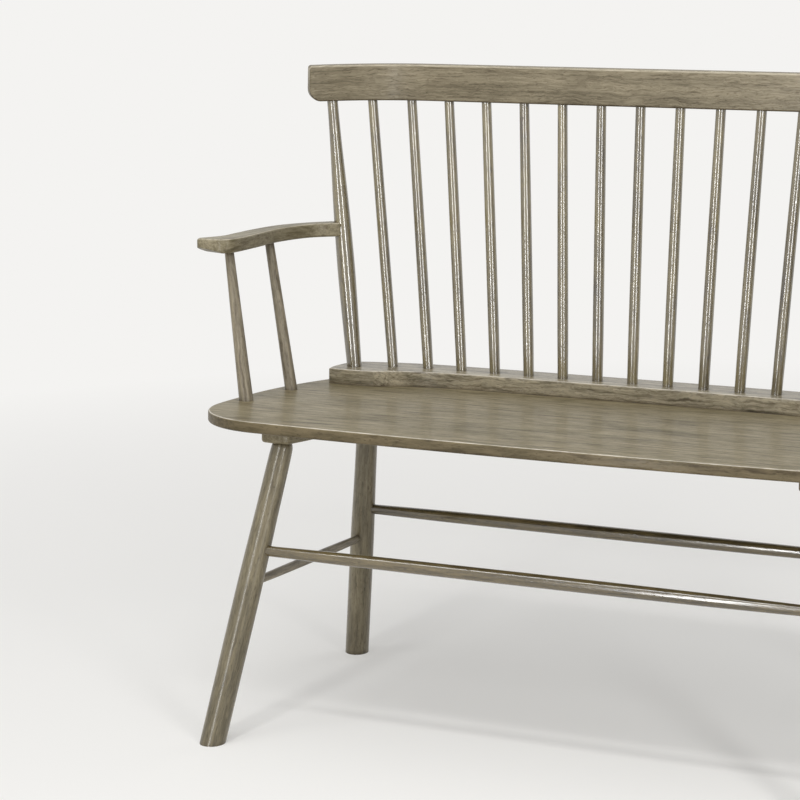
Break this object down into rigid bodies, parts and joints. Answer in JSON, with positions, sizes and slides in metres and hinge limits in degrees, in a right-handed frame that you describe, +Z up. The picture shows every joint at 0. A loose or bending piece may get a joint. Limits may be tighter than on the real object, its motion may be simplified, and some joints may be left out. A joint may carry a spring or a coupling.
{
  "type": "deacons bench",
  "caption": "Wooden bench with a flat plank seat, raked round legs with stretchers, a fan of spindles under a crest rail bent forward at its ends, and an arm at each end.",
  "frame": {"origin": "on the floor, under the middle of the bench's outer box", "axes": "+X along the bench to the right seen from the front, +Y from the front edge to the back, +Z up"},
  "size_m": [1.1564, 0.5566, 0.9165],
  "materials": {
    "seat_wood": "weathered greige stain under a satin lacquer, grain along the bench",
    "rail_wood": "weathered greige stain under a satin lacquer",
    "crest_wood": "weathered greige stain under a satin lacquer",
    "spindle_wood": "weathered greige stain under a satin lacquer, grain along the turning",
    "leg_wood": "weathered greige stain under a satin lacquer, grain along the turning",
    "arm_wood": "weathered greige stain under a satin lacquer, worn pale on top",
    "screw_steel": "zinc plated"
  },
  "bodies": {
    "root": {"seat": "seat_wood", "seat_rail": "rail_wood", "crest_rail": "crest_wood", "batten_left": "leg_wood", "batten_right": "leg_wood", "leg_front_left": "leg_wood", "leg_front_right": "leg_wood", "leg_back_left": "leg_wood", "leg_back_right": "leg_wood", "stretcher_left": "leg_wood", "stretcher_right": "leg_wood", "stretcher_front": "leg_wood", "stretcher_back": "leg_wood", "post_left": "spindle_wood", "post_right": "spindle_wood", "spindle_01": "spindle_wood", "spindle_02": "spindle_wood", "spindle_03": "spindle_wood", "spindle_04": "spindle_wood", "spindle_05": "spindle_wood", "spindle_06": "spindle_wood", "spindle_07": "spindle_wood", "spindle_08": "spindle_wood", "spindle_09": "spindle_wood", "spindle_10": "spindle_wood", "spindle_11": "spindle_wood", "spindle_12": "spindle_wood", "spindle_13": "spindle_wood", "spindle_14": "spindle_wood", "spindle_15": "spindle_wood", "arm_left": "arm_wood", "arm_right": "arm_wood", "arm_support_front_left": "spindle_wood", "arm_support_front_right": "spindle_wood", "arm_support_rear_left": "spindle_wood", "arm_support_rear_right": "spindle_wood", "batten_screw_left_1": "screw_steel", "batten_screw_left_2": "screw_steel", "batten_screw_left_3": "screw_steel", "batten_screw_right_1": "screw_steel", "batten_screw_right_2": "screw_steel", "batten_screw_right_3": "screw_steel", "rail_screw_1": "screw_steel", "rail_screw_2": "screw_steel", "rail_screw_3": "screw_steel", "rail_screw_4": "screw_steel", "rail_screw_5": "screw_steel", "arm_screw_left": "screw_steel", "arm_screw_right": "screw_steel"}
  },
  "joints": []
}
